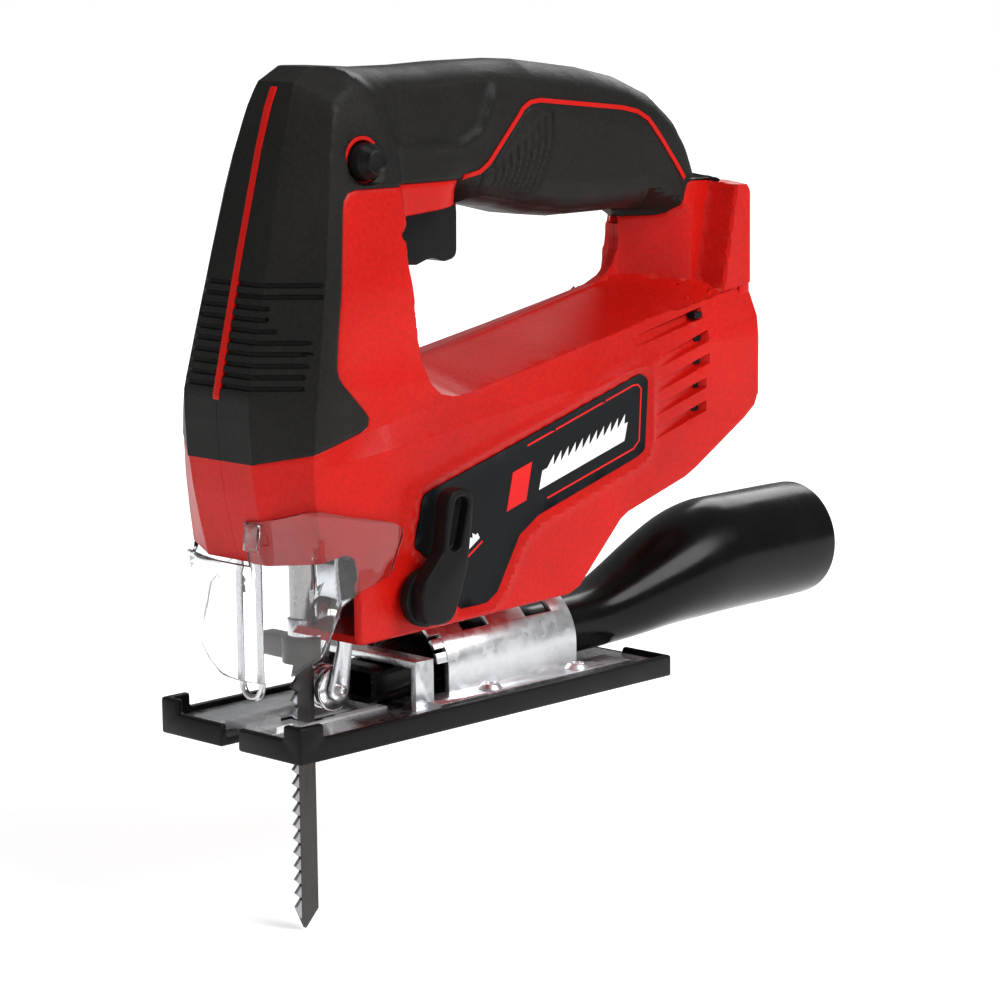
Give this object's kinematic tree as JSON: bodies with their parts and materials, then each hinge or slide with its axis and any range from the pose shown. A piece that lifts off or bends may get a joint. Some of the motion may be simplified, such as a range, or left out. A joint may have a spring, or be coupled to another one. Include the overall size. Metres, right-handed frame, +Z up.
{
  "type": "cordless jigsaw",
  "caption": "Cordless jigsaw with a D-shaped handle, orbital blade drive, tilting shoe, blade guard and slide-in dust tube.",
  "frame": {"origin": "centre of the shoe's sole on the tool's middle plane", "axes": "+X from the blade end to the battery end, +Z up from the sole, +Y to the tool's right-hand side"},
  "size_m": [0.243, 0.0696, 0.2435],
  "materials": {
    "red_plastic": "fine satin texture",
    "black_skin": "soft matte",
    "black_plastic": "fine matte texture",
    "gloss_black": "smooth satin",
    "label_print": "printed plate",
    "clear_plastic": "clear moulded",
    "zinc_steel": "bright zinc",
    "dark_steel": "dark oiled",
    "blade_steel": "blackened",
    "chrome_steel": "polished",
    "spring_steel": "drawn wire",
    "bronze": "sintered",
    "copper": "enamelled copper",
    "contact_brass": "stamped",
    "cast_alloy": "cast",
    "magnet": "ferrite",
    "carbon": "pressed carbon",
    "white_nylon": "moulded nylon",
    "lead_red": "wire insulation"
  },
  "bodies": {
    "base": {"base_shoe": "black_plastic", "base_plate": "zinc_steel", "splinter_insert": "clear_plastic", "tilt_bracket": "zinc_steel", "bracket_screws": "zinc_steel"},
    "housing": {"housing_left": "red_plastic", "housing_right": "red_plastic", "skin_left": "black_skin", "skin_right": "black_skin", "grip_pad_left": "black_skin", "grip_pad_right": "black_skin", "label_left": "label_print", "label_right": "label_print", "chip_guard": "clear_plastic", "wire_guard": "chrome_steel", "housing_screws": "zinc_steel", "terminal_block": "black_plastic", "battery_contacts": "contact_brass", "switch_module": "black_plastic", "power_leads": "lead_red", "motor_can": "zinc_steel", "motor_magnets": "magnet", "motor_end_bell": "black_plastic", "carbon_brushes": "carbon", "front_bearing": "chrome_steel", "rear_bearing": "chrome_steel", "gear_frame": "cast_alloy", "upper_guide": "cast_alloy", "plunger_bushings": "bronze", "plunger_seal": "black_skin", "gear_pin": "chrome_steel", "gear_clip": "spring_steel", "fork_pin": "chrome_steel", "tilt_screws": "zinc_steel", "trigger_spring": "spring_steel", "button_spring": "spring_steel"},
    "armature": {"armature_shaft": "chrome_steel", "armature_core": "copper", "commutator": "copper", "cooling_fan": "white_nylon", "pinion": "dark_steel"},
    "gear": {"main_gear": "dark_steel", "counterweight": "dark_steel", "crank_pin": "chrome_steel"},
    "crank_roller": {"crank_roller": "dark_steel"},
    "plunger": {"plunger": "chrome_steel", "blade_holder": "dark_steel", "saw_blade": "blade_steel", "collar_spring": "spring_steel"},
    "clamp_collar": {"clamp_collar": "dark_steel"},
    "fork": {"pendulum_fork": "zinc_steel", "roller_pin": "chrome_steel"},
    "guide_roller": {"guide_roller": "chrome_steel"},
    "orbit_lever": {"orbit_lever": "black_plastic"},
    "trigger": {"trigger": "black_plastic"},
    "lock_button": {"lock_button": "black_plastic"},
    "dust_tube": {"dust_tube": "gloss_black"}
  },
  "joints": [
    {"name": "shoe_tilt", "type": "hinge", "parent": "base", "child": "housing", "pos_m": [0, 0, 0.013], "axis": [1, 0, 0], "range_deg": [-30, 30]},
    {"name": "dust_tube_pull", "type": "slide", "parent": "base", "child": "dust_tube", "axis": [1, 0, 0], "range_m": [0, 0.05]},
    {"name": "armature_spin", "type": "hinge", "parent": "housing", "child": "armature", "pos_m": [0, 0, 0.07], "axis": [1, 0, 0], "continuous": true},
    {"name": "gear_spin", "type": "hinge", "parent": "housing", "child": "gear", "pos_m": [0, 0, 0.0956], "axis": [1, 0, 0], "continuous": true},
    {"name": "crank_roller_spin", "type": "hinge", "parent": "gear", "child": "crank_roller", "pos_m": [-0.04, 0, 0.0856], "axis": [1, 0, 0], "continuous": true},
    {"name": "plunger_stroke", "type": "slide", "parent": "housing", "child": "plunger", "axis": [0, 0, 1], "range_m": [0, 0.02]},
    {"name": "clamp_release", "type": "hinge", "parent": "plunger", "child": "clamp_collar", "pos_m": [-0.047, 0, 0.024], "axis": [0, 0, 1], "range_deg": [0, 60], "stiffness_Nm_per_rad": 0.02, "springref_deg": -28.65, "deforming": ["collar_spring"]},
    {"name": "fork_swing", "type": "hinge", "parent": "housing", "child": "fork", "pos_m": [-0.033, 0, 0.053], "axis": [0, 1, 0], "range_deg": [-4, 0]},
    {"name": "guide_roller_spin", "type": "hinge", "parent": "fork", "child": "guide_roller", "pos_m": [-0.038, 0, 0.0115], "axis": [0, 1, 0], "continuous": true},
    {"name": "orbit_select", "type": "hinge", "parent": "housing", "child": "orbit_lever", "pos_m": [-0.03, -0.03, 0.0405], "axis": [0, 1, 0], "range_deg": [0, 66]},
    {"name": "trigger_pull", "type": "slide", "parent": "housing", "child": "trigger", "axis": [0, 0, 1], "range_m": [0, 0.006], "stiffness_N_per_m": 800, "springref_m": -0.002, "deforming": ["trigger_spring"]},
    {"name": "lock_press", "type": "slide", "parent": "housing", "child": "lock_button", "axis": [0, 1, 0], "range_m": [0, 0.004], "stiffness_N_per_m": 600, "springref_m": -0.002, "deforming": ["button_spring"]}
  ],
  "couplings": [
    {"joint": "gear_spin", "follows": "armature_spin", "ratio": -0.18518}
  ]
}
